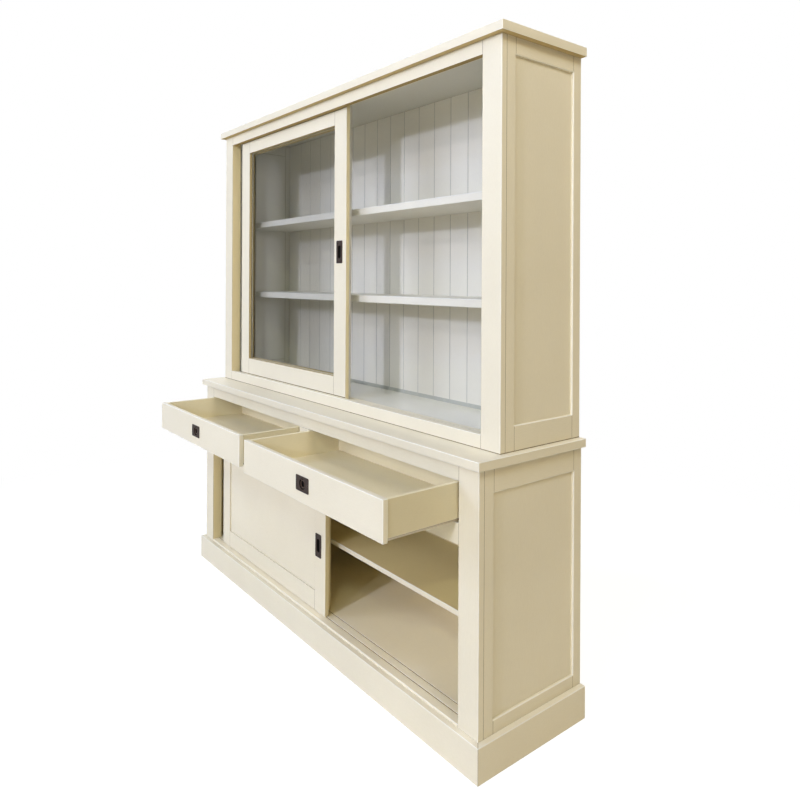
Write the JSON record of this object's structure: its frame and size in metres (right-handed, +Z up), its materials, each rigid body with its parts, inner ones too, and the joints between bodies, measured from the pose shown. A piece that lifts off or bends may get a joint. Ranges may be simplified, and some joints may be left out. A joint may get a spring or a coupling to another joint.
{
  "type": "dresser with hutch",
  "caption": "Wide painted dresser: drawers over panelled sliding doors, and a shallower hutch above with shelves behind glazed sliding doors.",
  "frame": {"origin": "centre of the plinth's footprint, on the floor", "axes": "+X to the cabinet's right as seen from the front, +Y to its back (the drawers open along -Y), +Z up"},
  "size_m": [2, 0.7602, 2.2],
  "materials": {
    "cream_paint": "satin paint",
    "grey_white_paint": "satin paint",
    "board_primer": "matt paint",
    "clear_glass": "polished",
    "dark_bronze": "satin",
    "runner_steel": "zinc plated",
    "pin_steel": "bright",
    "nylon": "matt"
  },
  "bodies": {
    "carcass": {"cabinet_runners": "runner_steel", "cornice": "cream_paint", "floor_bearers": "board_primer", "hutch_back_planks": "grey_white_paint", "hutch_bottom_rail": "cream_paint", "hutch_door_guide": "cream_paint", "hutch_door_track": "cream_paint", "hutch_floor": "grey_white_paint", "hutch_post_left": "cream_paint", "hutch_post_right": "cream_paint", "hutch_shelf_lower": "grey_white_paint", "hutch_shelf_upper": "grey_white_paint", "hutch_side_left": "cream_paint", "hutch_side_right": "cream_paint", "hutch_top_rail": "cream_paint", "lower_back": "board_primer", "lower_door_guide": "cream_paint", "lower_floor": "cream_paint", "lower_middle_rail": "cream_paint", "lower_mullion": "cream_paint", "lower_post_left": "cream_paint", "lower_post_right": "cream_paint", "lower_shelf": "cream_paint", "lower_side_left": "cream_paint", "lower_side_right": "cream_paint", "lower_top_rail": "cream_paint", "plinth_front": "cream_paint", "plinth_left": "cream_paint", "plinth_right": "cream_paint", "runner_bearers": "board_primer", "shelf_pins": "pin_steel", "worktop": "cream_paint"},
    "upper_front_door": {"upper_front_door_beads": "cream_paint", "upper_front_door_frame": "cream_paint", "upper_front_door_glass": "clear_glass", "upper_front_door_gliders": "nylon", "upper_front_door_pull": "dark_bronze"},
    "upper_rear_door": {"upper_rear_door_beads": "cream_paint", "upper_rear_door_frame": "cream_paint", "upper_rear_door_glass": "clear_glass", "upper_rear_door_gliders": "nylon", "upper_rear_door_pull": "dark_bronze"},
    "lower_front_door": {"lower_front_door_frame": "cream_paint", "lower_front_door_gliders": "nylon", "lower_front_door_panel": "cream_paint", "lower_front_door_pull": "dark_bronze"},
    "lower_rear_door": {"lower_rear_door_frame": "cream_paint", "lower_rear_door_gliders": "nylon", "lower_rear_door_panel": "cream_paint", "lower_rear_door_pull": "dark_bronze"},
    "left_drawer": {"left_drawer_box": "cream_paint", "left_drawer_front": "cream_paint", "left_drawer_pull": "dark_bronze", "left_drawer_runners": "runner_steel"},
    "left_drawer_ring_hinge": {"left_drawer_ring": "dark_bronze"},
    "right_drawer": {"right_drawer_box": "cream_paint", "right_drawer_front": "cream_paint", "right_drawer_pull": "dark_bronze", "right_drawer_runners": "runner_steel"},
    "right_drawer_ring_hinge": {"right_drawer_ring": "dark_bronze"}
  },
  "joints": [
    {"name": "upper_front_door_slide", "type": "slide", "parent": "carcass", "child": "upper_front_door", "axis": [1, 0, 0], "range_m": [-0.061, 0.775]},
    {"name": "upper_rear_door_slide", "type": "slide", "parent": "carcass", "child": "upper_rear_door", "axis": [1, 0, 0], "range_m": [-0.037, 0.821]},
    {"name": "lower_front_door_slide", "type": "slide", "parent": "carcass", "child": "lower_front_door", "axis": [1, 0, 0], "range_m": [-0.069, 0.771]},
    {"name": "lower_rear_door_slide", "type": "slide", "parent": "carcass", "child": "lower_rear_door", "axis": [1, 0, 0], "range_m": [-0.039, 0.823]},
    {"name": "left_drawer_slide", "type": "slide", "parent": "carcass", "child": "left_drawer", "axis": [0, -1, 0], "range_m": [-0.265, 0.035]},
    {"name": "right_drawer_slide", "type": "slide", "parent": "carcass", "child": "right_drawer", "axis": [0, -1, 0], "range_m": [-0.282, 0.018]},
    {"name": "left_ring_hinge", "type": "hinge", "parent": "left_drawer", "child": "left_drawer_ring_hinge", "pos_m": [-0.4665, -0.4912, 0.7865], "axis": [-1, 0, 0], "range_deg": [0, 90]},
    {"name": "right_ring_hinge", "type": "hinge", "parent": "right_drawer", "child": "right_drawer_ring_hinge", "pos_m": [0.4665, -0.5082, 0.7865], "axis": [-1, 0, 0], "range_deg": [0, 90]}
  ]
}
